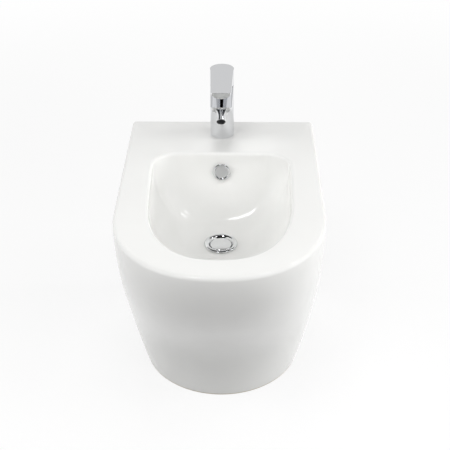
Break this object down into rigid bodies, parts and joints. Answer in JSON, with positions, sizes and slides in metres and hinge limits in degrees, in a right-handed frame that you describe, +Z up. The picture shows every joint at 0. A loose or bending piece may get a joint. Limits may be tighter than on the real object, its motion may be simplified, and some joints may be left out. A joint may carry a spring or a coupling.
{
  "type": "floor standing bidet",
  "caption": "Back-to-wall floor standing bidet in white glazed china with a chrome lever mixer, a tilting spray nozzle and a pop-up waste worked by a lift rod.",
  "frame": {"origin": "on the floor under the middle of the footprint, half way between the wall plane and the front of the rim", "axes": "+X to the right as seen from the front, +Y to the wall behind, +Z up; the front of the bowl faces -Y"},
  "size_m": [0.36, 0.5299, 0.5365],
  "materials": {
    "china": "white glaze, high gloss",
    "chrome": "bright polished chrome",
    "plated_brass": "chromed brass, dull below the china",
    "raw_brass": "turned brass",
    "steel": "plain stainless and zinc plated steel",
    "grub": "blackened steel",
    "bracket": "zinc plated steel",
    "rubber": "black rubber",
    "white_plastic": "white moulded plastic",
    "dark_plastic": "dark grey moulded plastic",
    "disc_white": "lapped white ceramic",
    "disc_dark": "lapped dark ceramic"
  },
  "bodies": {
    "base": {"bowl_deck": "china", "bowl_rim": "china", "wall_left": "china", "wall_right": "china", "wall_front_left": "china", "wall_front_right": "china", "wall_back": "china", "basin_back_left": "china", "basin_back_right": "china", "basin_front_left": "china", "basin_front_right": "china", "basin_floor": "china", "overflow_duct": "china", "bracket_left": "bracket", "bracket_right": "bracket", "side_screws": "steel", "side_sleeves": "white_plastic", "side_caps": "white_plastic", "mixer_body": "chrome", "base_gasket": "rubber", "fixing_stud": "raw_brass", "rubber_washer": "rubber", "metal_washer": "steel", "fixing_nut": "raw_brass", "cartridge_housing": "white_plastic", "fixed_disc": "disc_white", "cartridge_nut": "raw_brass", "nozzle_seal": "rubber", "nozzle_pin": "steel", "waste_flange": "chrome", "flange_seal": "rubber", "waste_tail": "plated_brass", "under_seal": "rubber", "under_washer": "white_plastic", "backnut": "raw_brass", "port_seal": "white_plastic", "port_nut": "plated_brass", "overflow_cap": "chrome", "overflow_sleeve": "white_plastic"},
    "swivel": {"cartridge_carrier": "white_plastic", "moving_disc": "disc_dark", "dome_cover": "chrome", "stem_pin": "steel"},
    "handle": {"lever": "chrome", "lever_stem": "steel", "lever_screw": "grub"},
    "spray": {"nozzle": "chrome", "aerator": "dark_plastic"},
    "lift": {"lift_rod": "chrome", "lift_knob": "chrome", "clevis_strap": "steel", "clevis_screw": "steel"},
    "rocker": {"pivot_rod": "steel", "spring_clip": "steel"},
    "plug": {"waste_plug": "chrome", "plug_seal": "rubber", "plug_foot": "steel"}
  },
  "joints": [
    {"name": "lever_turn", "type": "hinge", "parent": "base", "child": "swivel", "pos_m": [0, 0.212, 0.5], "axis": [0, 0, 1], "range_deg": [-45, 45]},
    {"name": "lever_lift", "type": "hinge", "parent": "swivel", "child": "handle", "pos_m": [0, 0.212, 0.506], "axis": [-1, 0, 0], "range_deg": [0, 22]},
    {"name": "nozzle_tilt", "type": "hinge", "parent": "base", "child": "spray", "pos_m": [0, 0.128, 0.493], "axis": [-1, 0, 0], "range_deg": [-45, 25]},
    {"name": "rod_slide", "type": "slide", "parent": "base", "child": "lift", "axis": [0, 0.225, 0.9744], "range_m": [-0.03117, 0]},
    {"name": "rocker_tilt", "type": "hinge", "parent": "base", "child": "rocker", "pos_m": [0, 0.053, 0.204], "axis": [1, 0, 0], "range_deg": [-13.05, 0]},
    {"name": "plug_slide", "type": "slide", "parent": "base", "child": "plug", "axis": [0, 0, 1], "range_m": [0, 0.0064]}
  ],
  "couplings": [
    {"joint": "rocker_tilt", "follows": "rod_slide", "rad_per_m": 7.2778},
    {"joint": "plug_slide", "follows": "rod_slide", "ratio": -0.20466}
  ]
}
